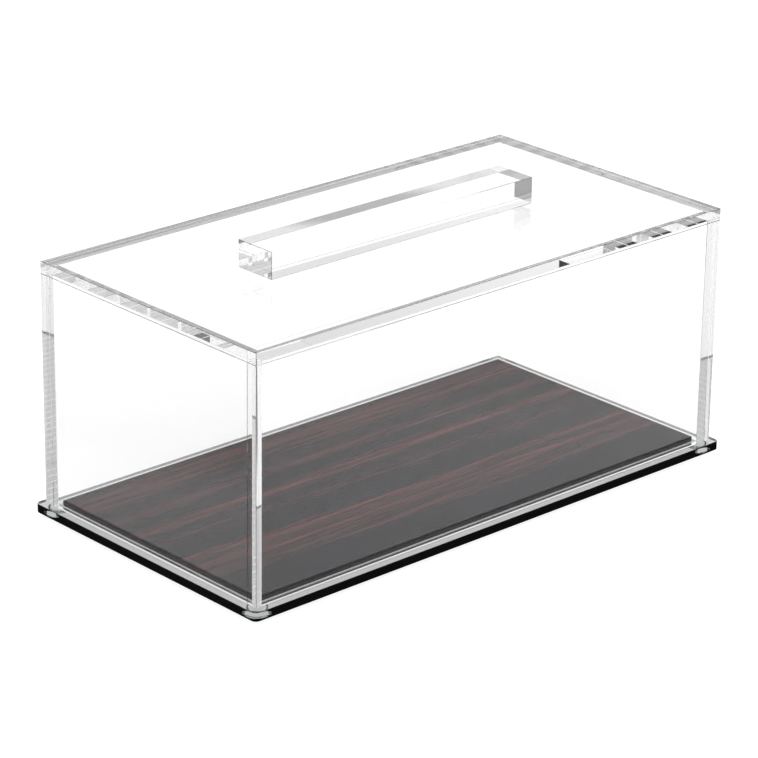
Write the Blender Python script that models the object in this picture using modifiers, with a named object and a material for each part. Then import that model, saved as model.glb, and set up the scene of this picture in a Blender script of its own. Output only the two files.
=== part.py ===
"""Clear acrylic display case with a lift-off cover.

The cover is five bonded panels and a solid bar handle. It stands on a clear
base plate that carries a wood-grain floor board above and four round feet
below. Metres, +Z up. The origin is the middle of the footprint at the height
of the table, the long side runs along X, and the front faces -Y.
"""

import math

import bmesh
import bpy
from mathutils import Vector

# Cover
COVER_LENGTH = 0.320
COVER_WIDTH = 0.1656
COVER_HEIGHT = 0.1317       # base plate's top to the top panel's upper face
SHEET = 0.0064              # thickness of the walls and the top panel

# Handle, a solid bar bonded along the middle of the top panel
HANDLE_LENGTH = 0.180
HANDLE_WIDTH = 0.0254
HANDLE_RISE = 0.0145        # top panel's upper face to the top of the bar

# Base plate
LEDGE = 0.0040              # how far the base plate shows all round the cover
BASE_THICKNESS = 0.0048
BASE_CORNER_RADIUS = 0.0030
CORNER_SEGMENTS = 8

# Floor board, glued to the base plate inside the cover
BOARD_RISE = 0.0028         # base plate's top to the board's upper face
BOARD_CLEARANCE = 0.0018    # play between the board and the cover's walls

# Feet, round bumpers under the corners of the base plate
FOOT_RADIUS = 0.0053
FOOT_HEIGHT = 0.0022
FOOT_EDGE_RADIUS = 0.0014   # rounding of the foot's lower edge
FOOT_INSET = 0.0086         # foot's centre to the base plate's edges
FOOT_STEPS = 32
FOOT_ARC_STEPS = 5

# Bonded and resting faces stand this far apart
GAP = 0.0003
ARRIS = 0.0003              # small chamfer on exposed edges
ARRIS_ANGLE = math.radians(60)

# Levels
BASE_BOTTOM = FOOT_HEIGHT + GAP
BASE_TOP = BASE_BOTTOM + BASE_THICKNESS
COVER_BOTTOM = BASE_TOP + GAP
COVER_TOP = BASE_TOP + COVER_HEIGHT
TOP_PANEL_BOTTOM = COVER_TOP - SHEET
WALL_TOP = TOP_PANEL_BOTTOM - GAP

# Half sizes
HALF_LENGTH = COVER_LENGTH / 2
HALF_WIDTH = COVER_WIDTH / 2
BASE_HALF_LENGTH = HALF_LENGTH + LEDGE
BASE_HALF_WIDTH = HALF_WIDTH + LEDGE


def clear_scene():
    """Start from an empty file."""
    for obj in list(bpy.data.objects):
        bpy.data.objects.remove(obj, do_unlink=True)


def make_collection(name):
    """The collection that holds every piece of the case."""
    collection = bpy.data.collections.new(name)
    bpy.context.scene.collection.children.link(collection)
    return collection


def make_material(name, color, roughness, transmission=0.0, ior=1.5):
    """A Principled material; every piece here is non-metallic."""
    material = bpy.data.materials.new(name)
    material.use_nodes = True
    shader = material.node_tree.nodes["Principled BSDF"]
    shader.inputs["Base Color"].default_value = color
    shader.inputs["Roughness"].default_value = roughness
    shader.inputs["Metallic"].default_value = 0.0
    shader.inputs["Transmission Weight"].default_value = transmission
    shader.inputs["IOR"].default_value = ior
    material.diffuse_color = color
    return material


def make_acrylic(name):
    """Clear cast acrylic with a polished surface."""
    return make_material(name, (0.93, 0.94, 0.96, 1.0), 0.03, transmission=0.95, ior=1.49)


def make_frame(name, height, collection):
    """An empty on the case's vertical axis that carries one body's pieces."""
    frame = bpy.data.objects.new(name, None)
    frame.empty_display_size = 0.02
    frame.location = (0.0, 0.0, height)
    collection.objects.link(frame)
    return frame


def place(obj, name, centre, frame, material, collection):
    """Name a piece, hang it on its body's frame and give it its material."""
    for old in list(obj.users_collection):
        old.objects.unlink(obj)
    collection.objects.link(obj)
    obj.name = name
    obj.data.name = name
    obj.data.materials.append(material)
    obj.parent = frame
    obj.location = centre - frame.location


def add_box(name, low, high, frame, material, collection):
    """A square-edged solid between two opposite corners."""
    low = Vector(low)
    high = Vector(high)
    bpy.ops.mesh.primitive_cube_add(size=1.0)
    box = bpy.context.object
    box.scale = high - low
    bpy.ops.object.transform_apply(location=False, rotation=False, scale=True)
    place(box, name, (low + high) / 2, frame, material, collection)
    return box


def chamfer_edges(obj):
    """Take the sharpness off the exposed edges of a piece."""
    bevel = obj.modifiers.new("arris", 'BEVEL')
    bevel.width = ARRIS
    bevel.segments = 1
    bevel.limit_method = 'ANGLE'
    bevel.angle_limit = ARRIS_ANGLE


def round_vertical_edges(obj, radius, segments):
    """Round the four upright corners of a plate."""
    mesh = bmesh.new()
    mesh.from_mesh(obj.data)
    upright = [edge for edge in mesh.edges
               if abs(edge.verts[0].co.z - edge.verts[1].co.z) > GAP]
    bmesh.ops.bevel(mesh, geom=upright, offset=radius, segments=segments,
                    profile=0.5, affect='EDGES')
    mesh.to_mesh(obj.data)
    mesh.free()


def add_cover(collection):
    """Five panels and the handle: the top lies over the walls, and the two
    long walls run full length with the short walls fitted between them."""
    frame = make_frame("cover_frame", COVER_BOTTOM, collection)

    def add_panel(name, low, high):
        return add_box(name, low, high, frame, make_acrylic(name), collection)

    add_panel("cover_top_panel",
              (-HALF_LENGTH, -HALF_WIDTH, TOP_PANEL_BOTTOM),
              (HALF_LENGTH, HALF_WIDTH, COVER_TOP))

    inner_face = HALF_WIDTH - SHEET
    for name, near, far in (("cover_front_panel", -HALF_WIDTH, -inner_face),
                            ("cover_back_panel", inner_face, HALF_WIDTH)):
        add_panel(name, (-HALF_LENGTH, near, COVER_BOTTOM), (HALF_LENGTH, far, WALL_TOP))

    inner_end = HALF_LENGTH - SHEET
    side_reach = inner_face - GAP
    for name, near, far in (("cover_left_panel", -HALF_LENGTH, -inner_end),
                            ("cover_right_panel", inner_end, HALF_LENGTH)):
        add_panel(name, (near, -side_reach, COVER_BOTTOM), (far, side_reach, WALL_TOP))

    handle = add_panel("handle_bar",
                       (-HANDLE_LENGTH / 2, -HANDLE_WIDTH / 2, COVER_TOP + GAP),
                       (HANDLE_LENGTH / 2, HANDLE_WIDTH / 2, COVER_TOP + HANDLE_RISE))
    chamfer_edges(handle)


def add_base_plate(frame, collection):
    """The clear plate that everything stands on, with rounded corners."""
    plate = add_box("base_plate",
                    (-BASE_HALF_LENGTH, -BASE_HALF_WIDTH, BASE_BOTTOM),
                    (BASE_HALF_LENGTH, BASE_HALF_WIDTH, BASE_TOP),
                    frame, make_acrylic("base_plate"), collection)
    round_vertical_edges(plate, BASE_CORNER_RADIUS, CORNER_SEGMENTS)
    chamfer_edges(plate)


def add_floor_board(frame, collection):
    """The glossy wood-grain board that the displayed thing stands on."""
    half_length = HALF_LENGTH - SHEET - BOARD_CLEARANCE
    half_width = HALF_WIDTH - SHEET - BOARD_CLEARANCE
    material = make_material("floor_board", (0.055, 0.035, 0.032, 1.0), 0.12)
    board = add_box("floor_board",
                    (-half_length, -half_width, BASE_TOP + GAP),
                    (half_length, half_width, BASE_TOP + BOARD_RISE),
                    frame, material, collection)
    chamfer_edges(board)


def foot_profile():
    """Half section of a foot as (radius, height) from its bonded top, down
    its side and round its lower edge to the middle of its sole."""
    centre_radius = FOOT_RADIUS - FOOT_EDGE_RADIUS
    profile = [(0.0, FOOT_HEIGHT), (FOOT_RADIUS, FOOT_HEIGHT)]
    for step in range(FOOT_ARC_STEPS + 1):
        angle = math.radians(90) * step / FOOT_ARC_STEPS
        profile.append((centre_radius + FOOT_EDGE_RADIUS * math.cos(angle),
                        FOOT_EDGE_RADIUS * (1.0 - math.sin(angle))))
    profile.append((0.0, 0.0))
    return profile


def make_foot_section(name):
    """The foot's half section as a mesh of edges, ready to be turned."""
    points = [(radius, 0.0, height) for radius, height in foot_profile()]
    edges = [(index, index + 1) for index in range(len(points) - 1)]
    mesh = bpy.data.meshes.new(name)
    mesh.from_pydata(points, edges, [])
    return mesh


def add_feet(frame, collection):
    """Four clear bumpers, one under each corner of the base plate."""
    foot_x = BASE_HALF_LENGTH - FOOT_INSET
    foot_y = BASE_HALF_WIDTH - FOOT_INSET
    for depth_name, y in (("front", -foot_y), ("back", foot_y)):
        for side_name, x in (("left", -foot_x), ("right", foot_x)):
            name = "foot_" + depth_name + "_" + side_name
            foot = bpy.data.objects.new(name, make_foot_section(name))
            material = make_material(name, (0.86, 0.87, 0.88, 1.0), 0.2, transmission=0.6)
            place(foot, name, Vector((x, y, 0.0)), frame, material, collection)
            turn = foot.modifiers.new("turn", 'SCREW')
            turn.axis = 'Z'
            turn.angle = math.tau
            turn.steps = FOOT_STEPS
            turn.render_steps = FOOT_STEPS
            turn.use_merge_vertices = True
            turn.merge_threshold = 0.00001
            turn.use_smooth_shade = True


def build_case():
    """Model the whole case."""
    clear_scene()
    collection = make_collection("acrylic_display_case")
    base_frame = make_frame("base_frame", 0.0, collection)
    add_base_plate(base_frame, collection)
    add_floor_board(base_frame, collection)
    add_feet(base_frame, collection)
    add_cover(collection)


build_case()
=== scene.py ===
"""Looks for the clear acrylic display case.

Five bonded panels and a bar handle make the cover, which lifts off a clear base plate with a
glossy wood-grain floor board and four soft bumper feet. Metres, in the CAD frame.
"""

import math

import bmesh
import bpy
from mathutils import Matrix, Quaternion, Vector


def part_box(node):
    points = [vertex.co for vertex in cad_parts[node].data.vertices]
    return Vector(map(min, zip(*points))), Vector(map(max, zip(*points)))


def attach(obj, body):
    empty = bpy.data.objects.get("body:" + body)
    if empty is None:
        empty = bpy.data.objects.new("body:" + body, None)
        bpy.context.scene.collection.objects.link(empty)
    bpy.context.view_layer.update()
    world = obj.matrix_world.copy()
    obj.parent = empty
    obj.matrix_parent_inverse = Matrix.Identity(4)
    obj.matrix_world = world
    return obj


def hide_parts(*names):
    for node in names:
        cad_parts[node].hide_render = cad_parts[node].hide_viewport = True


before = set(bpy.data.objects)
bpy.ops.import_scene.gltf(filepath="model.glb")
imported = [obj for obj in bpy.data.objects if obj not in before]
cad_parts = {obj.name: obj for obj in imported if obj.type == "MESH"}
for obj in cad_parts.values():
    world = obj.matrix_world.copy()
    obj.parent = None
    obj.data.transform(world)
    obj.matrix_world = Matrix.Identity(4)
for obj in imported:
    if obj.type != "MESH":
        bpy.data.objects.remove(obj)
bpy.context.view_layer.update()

# Camera
CAMERA_AZIMUTH = math.radians(-42.6926)
CAMERA_ELEVATION = math.radians(21.8431)
CAMERA_ROLL = math.radians(0.7961)
CAMERA_DISTANCE = 1.79276
CAMERA_TARGET = Vector((-0.00555, 0.0, 0.06064))
CAMERA_LENS = 164.26
CAMERA_SENSOR = 36.0
CAMERA_CLIP = (0.01, 120.0)

# Shapes
SEAM = 0.00002              # thickness of the cement film between bonded panels
SEAM_REACH = 0.0004         # how near a face lies to a bonded plane to belong to it
ARRIS = 0.00016             # chamfer on the sharp edges of every panel
TOUCHING = 0.000001         # points closer than this count as one
SHARP_ANGLE = 1.0           # edges that turn by more than this, in radians, are sharp
SQUARE = 0.99               # share of a face's normal along an axis it is square to
UPRIGHT = 0.5               # the most of a face's normal that goes up on an upright face
PLATE_CORNER_RADIUS = 0.003
PLATE_CORNER_STEPS = 12
PLATE_CORNER_PROFILE = 0.5  # a quarter circle
BUMPER_ROUNDING = 0.0014    # rounding of a foot's lower edge
BUMPER_STEPS = 48
BUMPER_ARC_STEPS = 8
BUMPER_CREASE = math.radians(50.0)

# Material slots of the pieces: the body material is first on every piece
ACRYLIC = 0
CEMENT = 1                  # bonded faces of panels and feet
BOARD_GLUE = 1              # the plate's top, under the board
BOARD_EDGE = 1              # the board's sides
PAD = 2                     # the plate's underside, over the feet

# Acrylic, cement, glue and bumpers
ACRYLIC_IOR = 1.49
ACRYLIC_TINT = (0.993, 0.993, 0.993, 1.0)
# Painted shade: the base acrylic is tinted grey to stand in for the shade under the plate,
# which the glowing paper does not show
BASE_SHADE_TINT = (0.765, 0.765, 0.77, 1.0)
CEMENT_TINT = (0.97, 0.97, 0.97, 1.0)
GLUE_TONE = (0.006, 0.005, 0.005, 1.0)
GLUE_ROUGHNESS = 0.9
BUMPER_TINT = (0.84, 0.87, 0.84, 1.0)
BUMPER_ROUGHNESS = 0.06

# Wood grain, from the front edge of the board (0) to the back edge (1)
GRAIN_TONES = {
    "black": (0.013, 0.008, 0.017),
    "umber": (0.050, 0.020, 0.025),
    "brown": (0.098, 0.036, 0.038),
    "red": (0.155, 0.045, 0.048),
}
GRAIN_BANDS = (
    (0.00, "black"), (0.15, "black"), (0.185, "brown"), (0.235, "umber"), (0.27, "red"),
    (0.295, "umber"), (0.32, "brown"), (0.345, "red"), (0.365, "black"), (0.44, "black"),
    (0.50, "umber"), (0.56, "black"), (0.585, "brown"), (0.60, "red"), (0.635, "umber"),
    (0.66, "black"), (0.70, "black"), (0.73, "brown"), (0.775, "umber"), (0.80, "black"),
    (0.84, "umber"), (0.88, "brown"), (0.95, "brown"), (1.00, "umber"),
)
# Noise drawn out along the grain: counts per metre along x and y, detail and roughness
GRAIN_DRIFT = ((5.0, 9.0), 1.0, 0.5)
GRAIN_FRAY = ((6.0, 180.0), 2.0, 0.6)
GRAIN_PORES = ((14.0, 330.0), 1.5, 0.55)
DRIFT_REACH = 0.10          # the share of the board's width that drift can move a band over
FRAY_REACH = 0.08           # the same for fray
PORE_RANGE = (-0.18, 0.12)
PORE_TONES = (0.35, 1.25)
WOOD_ROUGHNESS = 0.0
WOOD_SPECULAR = 0.12

# The board's sawn edge: noise in counts per metre, and the tones it runs between
EDGE_RIPPLES = 900.0
EDGE_DETAIL = 3.0
EDGE_TONES = ((0.008, 0.007, 0.008, 1.0), (0.022, 0.019, 0.020, 1.0))
EDGE_ROUGHNESS = 0.55
EDGE_SPECULAR = 0.25

# Studio: directions across and along the view of the camera above. All of it stays in place
# when the object is looked at from another side.
TO_RIGHT = (math.cos(CAMERA_AZIMUTH), math.sin(CAMERA_AZIMUTH), 0.0)
TO_BACK = (-math.sin(CAMERA_AZIMUTH), math.cos(CAMERA_AZIMUTH), 0.0)
UP = (0.0, 0.0, 1.0)

# Light from each part of the room, and where one part fades into the next, as the share of a
# unit direction that goes right, back or up
OVERHEAD = 1.5
BACK_WALL_LEFT = 0.86
BACK_WALL_RIGHT = 1.15
LEFT_WALL = 0.75
RIGHT_WALL = 0.78
CAMERA_SIDE = 0.55
BELOW = 0.08
BACK_WALL_FADE = (-0.03, 0.10)
BACK_FADE = (0.10, 0.80)
RIGHT_FADE = (0.35, 0.85)
LEFT_FADE = (-0.85, -0.35)
OVERHEAD_FADE = (0.55, 0.85)
HORIZON_FADE = (-0.001, 0.0)

# The paper sweep gives most of its light itself
PAPER_SIZE = 120.0
PAPER_DROP = 0.0001         # how far the paper lies below the feet
PAPER_GLOW = 0.82
PAPER_TONE = 0.42
PAPER_ROUGHNESS = 0.9
# Painted shade: the paper is painted darker, and lighter again, beyond the picture's sides, so
# the case's clear parts show dark there: a heading to measure along, then steps with their
# start and end in metres from the centre and the share after each
PAPER_SHADE_STEPS = (
    (math.radians(143.4), ((0.210, 0.300, 0.36),)),
    (math.radians(-48.2), ((0.205, 0.290, 0.66), (0.340, 0.365, 0.22), (0.405, 0.430, 0.62))),
    (math.radians(-132.7), ((0.310, 0.400, 0.60),)),
)

# A dark card up at the left. To the camera above, the cover's upper edges mirror it and its
# walls do not.
CARD_DISTANCE = 0.40
CARD_SIZE = (1.00, 0.15)
CARD_LOWEST_RAY = 0.106
CARD_TONE = (0.035, 0.040, 0.055, 1.0)

LIGHT_BOUNCES = 96          # the panels lie one behind the other, and light crosses many


# Nodes ----------------------------------------------------------------------------------------

def new_material(name):
    """An empty node material, its tree and its output node."""
    material = bpy.data.materials.new(name)
    material.use_nodes = True
    material.node_tree.nodes.clear()
    output = material.node_tree.nodes.new("ShaderNodeOutputMaterial")
    return material, material.node_tree, output


def math_node(tree, operation, first, second):
    """A Math node fed by a socket and by a second socket or number."""
    node = tree.nodes.new("ShaderNodeMath")
    node.operation = operation
    tree.links.new(first, node.inputs[0])
    if isinstance(second, (int, float)):
        node.inputs[1].default_value = second
    else:
        tree.links.new(second, node.inputs[1])
    return node.outputs[0]


def ramp_node(tree, value, fade, low, high):
    """A smooth step from low to high as value goes through the fade's start and end."""
    node = tree.nodes.new("ShaderNodeMapRange")
    node.interpolation_type = 'SMOOTHSTEP'
    tree.links.new(value, node.inputs["Value"])
    settings = {"From Min": fade[0], "From Max": fade[1], "To Min": low, "To Max": high}
    for name, setting in settings.items():
        if isinstance(setting, (int, float)):
            node.inputs[name].default_value = setting
        else:
            tree.links.new(setting, node.inputs[name])
    return node.outputs[0]


def along_node(tree, vector, direction):
    """How far a vector goes along a direction."""
    node = tree.nodes.new("ShaderNodeVectorMath")
    node.operation = 'DOT_PRODUCT'
    node.inputs[1].default_value = direction
    tree.links.new(vector, node.inputs[0])
    return node.outputs["Value"]


def grain_noise(tree, place, settings):
    """Noise around zero, drawn out along the grain."""
    counts, detail, roughness = settings
    stretch = tree.nodes.new("ShaderNodeMapping")
    stretch.inputs["Scale"].default_value = (*counts, 1.0)
    tree.links.new(place, stretch.inputs["Vector"])
    texture = tree.nodes.new("ShaderNodeTexNoise")
    texture.inputs["Scale"].default_value = 1.0
    texture.inputs["Detail"].default_value = detail
    texture.inputs["Roughness"].default_value = roughness
    tree.links.new(stretch.outputs[0], texture.inputs["Vector"])
    return math_node(tree, 'SUBTRACT', texture.outputs[0], 0.5)


# Materials ------------------------------------------------------------------------------------

def glass_material(name, tint, roughness=0.0):
    """Clear plastic that bends light as acrylic does."""
    material, tree, output = new_material(name)
    shader = tree.nodes.new("ShaderNodeBsdfGlass")
    shader.inputs["Color"].default_value = tint
    shader.inputs["Roughness"].default_value = roughness
    shader.inputs["IOR"].default_value = ACRYLIC_IOR
    tree.links.new(shader.outputs[0], output.inputs["Surface"])
    return material


def cement_material():
    """A clear solvent joint, which light crosses without bending."""
    material, tree, output = new_material("solvent_joint")
    shader = tree.nodes.new("ShaderNodeBsdfTransparent")
    shader.inputs["Color"].default_value = CEMENT_TINT
    tree.links.new(shader.outputs[0], output.inputs["Surface"])
    return material


def glue_material():
    """The underside of the floor board as it shows through the plate."""
    material, tree, output = new_material("board_glue")
    shader = tree.nodes.new("ShaderNodeBsdfPrincipled")
    shader.inputs["Base Color"].default_value = GLUE_TONE
    shader.inputs["Roughness"].default_value = GLUE_ROUGHNESS
    shader.inputs["Specular IOR Level"].default_value = 0.0
    tree.links.new(shader.outputs[0], output.inputs["Surface"])
    return material


def wood_material():
    """Dark striped wood laminate under a gloss finish."""
    material, tree, output = new_material("wood_grain")
    nodes, links = tree.nodes, tree.links
    shader = nodes.new("ShaderNodeBsdfPrincipled")
    shader.inputs["Roughness"].default_value = WOOD_ROUGHNESS
    shader.inputs["Specular IOR Level"].default_value = WOOD_SPECULAR
    place = nodes.new("ShaderNodeTexCoord").outputs["Object"]
    separate = nodes.new("ShaderNodeSeparateXYZ")
    links.new(place, separate.inputs[0])
    width = board_high.y - board_low.y
    # The board is centred, so its width runs from -0.5 to 0.5 before the shift to 0 to 1
    across = math_node(tree, 'MULTIPLY', separate.outputs["Y"], 1.0 / width)
    across = math_node(tree, 'ADD', across, 0.5)
    for settings, reach in ((GRAIN_DRIFT, DRIFT_REACH), (GRAIN_FRAY, FRAY_REACH)):
        shift = math_node(tree, 'MULTIPLY', grain_noise(tree, place, settings), reach)
        across = math_node(tree, 'ADD', across, shift)
    bands = nodes.new("ShaderNodeValToRGB")
    ramp = bands.color_ramp
    for index, (position, tone) in enumerate(GRAIN_BANDS):
        stop = ramp.elements[index] if index < 2 else ramp.elements.new(position)
        stop.position = position
        stop.color = (*GRAIN_TONES[tone], 1.0)
    links.new(across, bands.inputs[0])
    pores = nodes.new("ShaderNodeMapRange")
    links.new(grain_noise(tree, place, GRAIN_PORES), pores.inputs["Value"])
    pores.inputs["From Min"].default_value, pores.inputs["From Max"].default_value = PORE_RANGE
    pores.inputs["To Min"].default_value, pores.inputs["To Max"].default_value = PORE_TONES
    grain = nodes.new("ShaderNodeVectorMath")
    grain.operation = 'SCALE'
    links.new(bands.outputs[0], grain.inputs[0])
    links.new(pores.outputs[0], grain.inputs["Scale"])
    links.new(grain.outputs[0], shader.inputs["Base Color"])
    links.new(shader.outputs[0], output.inputs["Surface"])
    return material


def board_edge_material():
    """The board's black sawn edge, with a fine ripple from the saw."""
    material, tree, output = new_material("board_edge")
    shader = tree.nodes.new("ShaderNodeBsdfPrincipled")
    place = tree.nodes.new("ShaderNodeTexCoord").outputs["Object"]
    ripple = tree.nodes.new("ShaderNodeTexNoise")
    ripple.inputs["Scale"].default_value = EDGE_RIPPLES
    ripple.inputs["Detail"].default_value = EDGE_DETAIL
    tree.links.new(place, ripple.inputs["Vector"])
    tone = tree.nodes.new("ShaderNodeValToRGB")
    for stop, colour in zip(tone.color_ramp.elements, EDGE_TONES):
        stop.color = colour
    tree.links.new(ripple.outputs[0], tone.inputs[0])
    tree.links.new(tone.outputs[0], shader.inputs["Base Color"])
    shader.inputs["Roughness"].default_value = EDGE_ROUGHNESS
    shader.inputs["Specular IOR Level"].default_value = EDGE_SPECULAR
    tree.links.new(shader.outputs[0], output.inputs["Surface"])
    return material


def paper_material():
    """White paper with painted shade: it goes grey away from the case, outside the picture."""
    material, tree, output = new_material("paper_sweep_painted_shade")
    shader = tree.nodes.new("ShaderNodeBsdfPrincipled")
    shader.inputs["Roughness"].default_value = PAPER_ROUGHNESS
    shader.inputs["Specular IOR Level"].default_value = 0.0
    shader.inputs["Emission Strength"].default_value = PAPER_GLOW / PAPER_TONE
    place = tree.nodes.new("ShaderNodeTexCoord").outputs["Object"]
    # Painted shade: each heading's steps paint the paper grey beyond the picture's sides
    shaded_tone = None
    for heading, steps in PAPER_SHADE_STEPS:
        distance = along_node(tree, place, (math.cos(heading), math.sin(heading), 0.0))
        tone = PAPER_TONE
        for start, end, share in steps:
            tone = ramp_node(tree, distance, (start, end), tone, PAPER_TONE * share)
        shaded_tone = tone if shaded_tone is None else math_node(tree, 'MINIMUM', shaded_tone, tone)
    paint = tree.nodes.new("ShaderNodeCombineColor")
    for channel in ("Red", "Green", "Blue"):
        tree.links.new(shaded_tone, paint.inputs[channel])
    tree.links.new(paint.outputs[0], shader.inputs["Base Color"])
    tree.links.new(paint.outputs[0], shader.inputs["Emission Color"])
    tree.links.new(shader.outputs[0], output.inputs["Surface"])
    return material


def card_material():
    """Blue-black card, the same tone all over."""
    material, tree, output = new_material("dark_card")
    shader = tree.nodes.new("ShaderNodeEmission")
    shader.inputs["Color"].default_value = CARD_TONE
    tree.links.new(shader.outputs[0], output.inputs["Surface"])
    return material


def studio_world():
    """A soft room: brightest overhead and at the back right, greyer at the sides and on the
    camera's side, and dark below the horizon."""
    world = bpy.data.worlds.new("studio")
    world.use_nodes = True
    tree = world.node_tree
    background = tree.nodes["Background"]
    background.inputs["Color"].default_value = (1.0, 1.0, 1.0, 1.0)
    direction = tree.nodes.new("ShaderNodeTexCoord").outputs["Generated"]
    right = along_node(tree, direction, TO_RIGHT)
    back = along_node(tree, direction, TO_BACK)
    up = along_node(tree, direction, UP)
    back_wall = ramp_node(tree, right, BACK_WALL_FADE, BACK_WALL_LEFT, BACK_WALL_RIGHT)
    level = ramp_node(tree, back, BACK_FADE, CAMERA_SIDE, back_wall)
    level = ramp_node(tree, right, RIGHT_FADE, level, RIGHT_WALL)
    level = ramp_node(tree, right, LEFT_FADE, LEFT_WALL, level)
    level = ramp_node(tree, up, OVERHEAD_FADE, level, OVERHEAD)
    level = ramp_node(tree, up, HORIZON_FADE, BELOW, level)
    tree.links.new(level, background.inputs["Strength"])
    return world


# Geometry -------------------------------------------------------------------------------------

def make_cuboid(low, high):
    """A bmesh box between two corners."""
    mesh = bmesh.new()
    bmesh.ops.create_cube(mesh, size=1.0)
    size, centre = high - low, (high + low) / 2
    for vertex in mesh.verts:
        vertex.co = Vector(a * b for a, b in zip(vertex.co, size)) + centre
    return mesh


def cut_across(mesh, axis, place):
    """Cut a mesh's faces along the plane where one coordinate has a given value."""
    point, normal = Vector((0.0, 0.0, 0.0)), Vector((0.0, 0.0, 0.0))
    point[axis] = place
    normal[axis] = 1.0
    geom = mesh.verts[:] + mesh.edges[:] + mesh.faces[:]
    bmesh.ops.bisect_plane(mesh, geom=geom, plane_co=point, plane_no=normal)


def chamfer_edges(mesh):
    """Take ARRIS off every sharp edge."""
    sharp = [edge for edge in mesh.edges if edge.calc_face_angle() > SHARP_ANGLE]
    bmesh.ops.bevel(mesh, geom=sharp, offset=ARRIS, segments=1, affect='EDGES')


def add_object(name, mesh):
    """Turn a bmesh into an object in the scene."""
    data = bpy.data.meshes.new(name)
    mesh.to_mesh(data)
    mesh.free()
    obj = bpy.data.objects.new(name, data)
    bpy.context.scene.collection.objects.link(obj)
    return obj


def seam_zone(box_a, box_b):
    """The box between two bonded pieces, and the axis it is thin along.

    It is where their boxes overlap once both are grown a little.
    """
    margin = Vector((SEAM_REACH,) * 3)
    low = Vector(map(max, box_a[0] - margin, box_b[0] - margin))
    high = Vector(map(min, box_a[1] + margin, box_b[1] + margin))
    thin = min(range(3), key=lambda axis: high[axis] - low[axis])
    return low, high, thin


def make_block(name, low, high, seams):
    """A panel: a cuboid cut along its seams, with bonded faces in the second slot."""
    mesh = make_cuboid(low, high)
    for zone_low, zone_high, thin in seams:
        for axis in range(3):
            if axis == thin:
                continue
            for place in (zone_low[axis] + SEAM_REACH, zone_high[axis] - SEAM_REACH):
                if low[axis] + SEAM_REACH < place < high[axis] - SEAM_REACH:
                    cut_across(mesh, axis, place)
    mesh.normal_update()
    for face in mesh.faces:
        middle = face.calc_center_median()
        for zone_low, zone_high, thin in seams:
            inside = all(zone_low[a] <= middle[a] <= zone_high[a] for a in range(3))
            if inside and abs(face.normal[thin]) > SQUARE:
                face.material_index = CEMENT
    chamfer_edges(mesh)
    mesh.normal_update()
    for face in mesh.faces:
        if max(abs(part) for part in face.normal) < SQUARE:
            face.material_index = ACRYLIC
    return add_object(name, mesh)


def make_plate(name):
    """The base plate, with rounded corners, cut along the board's outline for the glue."""
    mesh = make_cuboid(plate_low, plate_high)
    upright = [e for e in mesh.edges if abs(e.verts[0].co.z - e.verts[1].co.z) > TOUCHING]
    bmesh.ops.bevel(mesh, geom=upright, offset=PLATE_CORNER_RADIUS,
                    segments=PLATE_CORNER_STEPS, profile=PLATE_CORNER_PROFILE, affect='EDGES')
    for axis in (0, 1):
        cut_across(mesh, axis, board_low[axis])
        cut_across(mesh, axis, board_high[axis])
    mesh.normal_update()
    for face in mesh.faces:
        middle = face.calc_center_median()
        if (face.normal.z > SQUARE and board_low.x < middle.x < board_high.x
                and board_low.y < middle.y < board_high.y):
            face.material_index = BOARD_GLUE
    chamfer_edges(mesh)
    return add_object(name, mesh)


def add_foot_pads(plate):
    """Sink a pad, as deep as one seam, into the plate over each foot."""
    mesh = bmesh.new()
    for low, high in foot_boxes.values():
        middle = (low + high) / 2
        radius = (high.x - low.x) / 2
        made = bmesh.ops.create_cone(mesh, cap_ends=True, segments=BUMPER_STEPS,
                                     depth=2 * SEAM, radius1=radius, radius2=radius)
        for vertex in made["verts"]:
            vertex.co += Vector((middle.x, middle.y, plate_low.z))
    for face in mesh.faces:
        face.material_index = PAD
    cutter = add_object("foot_pads", mesh)
    cut = plate.modifiers.new("pads", 'BOOLEAN')
    cut.object = cutter
    cut.operation = 'DIFFERENCE'
    cut.material_mode = 'INDEX'
    evaluated = plate.evaluated_get(bpy.context.evaluated_depsgraph_get())
    result = bpy.data.meshes.new_from_object(evaluated)
    plate.modifiers.clear()
    plate.data = result
    bpy.data.objects.remove(cutter, do_unlink=True)


def make_bumper(name, low, high):
    """A turned foot: flat top against the plate, straight side and rounded lower edge."""
    radius = (high.x - low.x) / 2
    top = plate_low.z
    profile = [Vector((0.0, 0.0, top)), Vector((radius, 0.0, top))]
    for step in range(BUMPER_ARC_STEPS + 1):
        turn = math.pi / 2 * step / BUMPER_ARC_STEPS
        profile.append(Vector((radius - BUMPER_ROUNDING * (1 - math.cos(turn)), 0.0,
                               low.z + BUMPER_ROUNDING * (1 - math.sin(turn)))))
    profile.append(Vector((0.0, 0.0, low.z)))
    mesh = bmesh.new()
    verts = [mesh.verts.new(point) for point in profile]
    edges = [mesh.edges.new(pair) for pair in zip(verts, verts[1:])]
    bmesh.ops.spin(mesh, geom=verts + edges, axis=(0, 0, 1), cent=(0, 0, 0),
                   angle=2 * math.pi, steps=BUMPER_STEPS)
    bmesh.ops.remove_doubles(mesh, verts=mesh.verts, dist=TOUCHING)
    bmesh.ops.recalc_face_normals(mesh, faces=mesh.faces)
    for face in mesh.faces:
        face.smooth = abs(face.normal.z) < SQUARE
        if face.normal.z > SQUARE:
            face.material_index = CEMENT
    middle = (low + high) / 2
    bmesh.ops.translate(mesh, verts=mesh.verts, vec=(middle.x, middle.y, 0.0))
    foot = add_object(name, mesh)
    foot.data.set_sharp_from_angle(angle=BUMPER_CREASE)
    return foot


# The cover ------------------------------------------------------------------------------------

acrylic = glass_material("clear_acrylic", ACRYLIC_TINT)
cement = cement_material()

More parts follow.
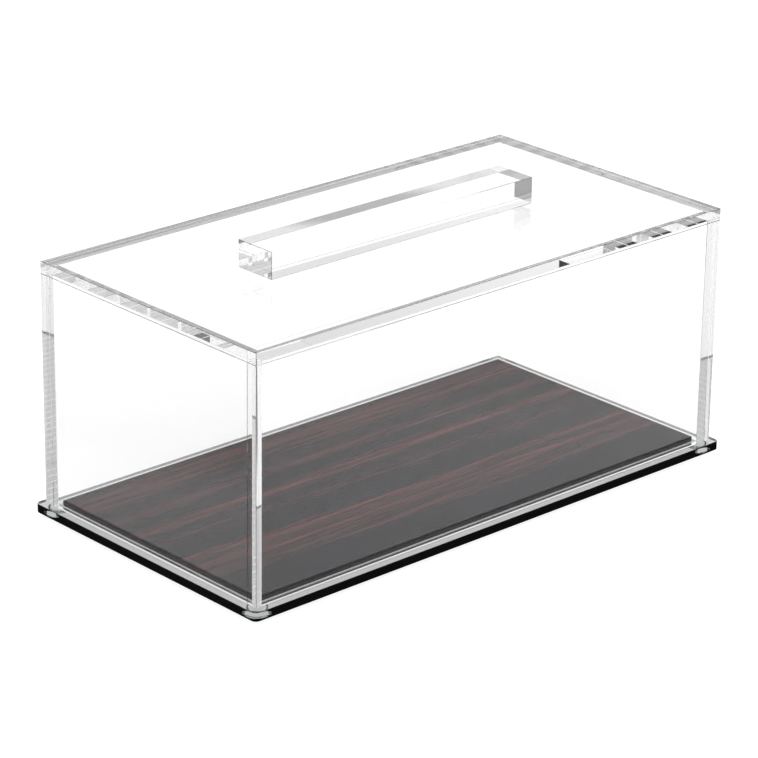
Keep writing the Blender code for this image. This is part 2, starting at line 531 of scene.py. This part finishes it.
boxes = {name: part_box(name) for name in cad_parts}
top_low, top_high = boxes["cover_top_panel"]
front_low, front_high = boxes["cover_front_panel"]
back_low, back_high = boxes["cover_back_panel"]
handle_low, handle_high = boxes["handle_bar"]
wall_top = top_low.z - SEAM

# The CAD boxes, grown until only a seam is left between bonded pieces
shapes = {
    "cover_top_panel": (top_low, top_high),
    "cover_front_panel": (front_low, Vector((front_high.x, front_high.y, wall_top))),
    "cover_back_panel": (back_low, Vector((back_high.x, back_high.y, wall_top))),
    "handle_bar": (Vector((handle_low.x, handle_low.y, top_high.z + SEAM)), handle_high),
}
for side in ("cover_left_panel", "cover_right_panel"):
    low, high = boxes[side]
    shapes[side] = (Vector((low.x, front_high.y + SEAM, low.z)),
                    Vector((high.x, back_low.y - SEAM, wall_top)))

bonds = [("cover_top_panel", wall) for wall in
         ("cover_front_panel", "cover_back_panel", "cover_left_panel", "cover_right_panel")]
bonds += [(wall, side) for wall in ("cover_front_panel", "cover_back_panel")
          for side in ("cover_left_panel", "cover_right_panel")]
bonds += [("cover_top_panel", "handle_bar")]

for node, (low, high) in shapes.items():
    seams = [seam_zone(shapes[a], shapes[b]) for a, b in bonds if node in (a, b)]
    piece = make_block(node + "_acrylic", low, high, seams)
    piece.data.materials.append(acrylic)
    piece.data.materials.append(cement)
    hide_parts(node)
    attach(piece, "cover")

# The base -------------------------------------------------------------------------------------

plate_low, plate_high = boxes["base_plate"]
board_low, board_high = boxes["floor_board"]
foot_boxes = {name: box for name, box in boxes.items() if name.startswith("foot_")}

plate = make_plate("base_plate_acrylic")
# Painted shade: the base acrylic's grey tint stands in for the shade under the plate
plate.data.materials.append(glass_material("base_acrylic", BASE_SHADE_TINT))
plate.data.materials.append(glue_material())
plate.data.materials.append(cement)
add_foot_pads(plate)
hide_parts("base_plate")
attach(plate, "base")

board = make_block("floor_board_laminate", board_low, board_high, [])
board.data.materials.append(wood_material())
board.data.materials.append(board_edge_material())
for face in board.data.polygons:
    if abs(face.normal.z) < UPRIGHT:
        face.material_index = BOARD_EDGE
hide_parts("floor_board")
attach(board, "base")

bumper = glass_material("clear_bumper", BUMPER_TINT, BUMPER_ROUGHNESS)
for node, (low, high) in foot_boxes.items():
    foot = make_bumper(node + "_bumper", low, high)
    foot.data.materials.append(bumper)
    foot.data.materials.append(cement)
    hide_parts(node)
    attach(foot, "base")

# Studio ---------------------------------------------------------------------------------------

# Mirror-like reflections miss the paper and meet the dark below the horizon instead, which is
# what blackens the edges of the base plate from every side
bpy.ops.mesh.primitive_plane_add(size=PAPER_SIZE, location=(0.0, 0.0, -PAPER_DROP))
floor = bpy.context.object
floor.name = "floor"
floor.data.materials.append(paper_material())
floor.visible_glossy = False

# The card stands to the camera's left, facing right. Rays reach it at the camera's own
# elevation, and its lower edge is as high as a ray gets there that starts over the middle of
# the case at CARD_LOWEST_RAY.
card_width, card_height = CARD_SIZE
card_foot = CARD_LOWEST_RAY + CARD_DISTANCE * math.tan(CAMERA_ELEVATION)
bpy.ops.mesh.primitive_plane_add(size=1.0)
card = bpy.context.object
card.name = "dark_card"
card.scale = (card_width, card_height, 1.0)
card.rotation_euler = (math.radians(90.0), 0.0, CAMERA_AZIMUTH + math.radians(90.0))
card.location = Vector((-TO_RIGHT[0], -TO_RIGHT[1], 0.0)) * CARD_DISTANCE
card.location.z = card_foot + card_height / 2
card.data.materials.append(card_material())
card.visible_diffuse = False
card.visible_camera = False

bpy.context.scene.world = studio_world()

bpy.context.scene.view_settings.view_transform = 'Standard'
cycles = bpy.context.scene.cycles
cycles.max_bounces = LIGHT_BOUNCES
cycles.transmission_bounces = LIGHT_BOUNCES
cycles.glossy_bounces = LIGHT_BOUNCES
cycles.transparent_max_bounces = LIGHT_BOUNCES

# Camera ---------------------------------------------------------------------------------------

camera = bpy.data.objects.new("camera", bpy.data.cameras.new("camera"))
bpy.context.scene.collection.objects.link(camera)
away = Vector((math.sin(CAMERA_AZIMUTH) * math.cos(CAMERA_ELEVATION),
               -math.cos(CAMERA_AZIMUTH) * math.cos(CAMERA_ELEVATION),
               math.sin(CAMERA_ELEVATION)))
camera.location = CAMERA_TARGET + away * CAMERA_DISTANCE
level_view = (-away).to_track_quat('-Z', 'Y')
camera.rotation_mode = 'QUATERNION'
camera.rotation_quaternion = level_view @ Quaternion((0.0, 0.0, 1.0), CAMERA_ROLL)
camera.data.lens = CAMERA_LENS
camera.data.sensor_width = CAMERA_SENSOR
camera.data.clip_start, camera.data.clip_end = CAMERA_CLIP
bpy.context.scene.camera = camera
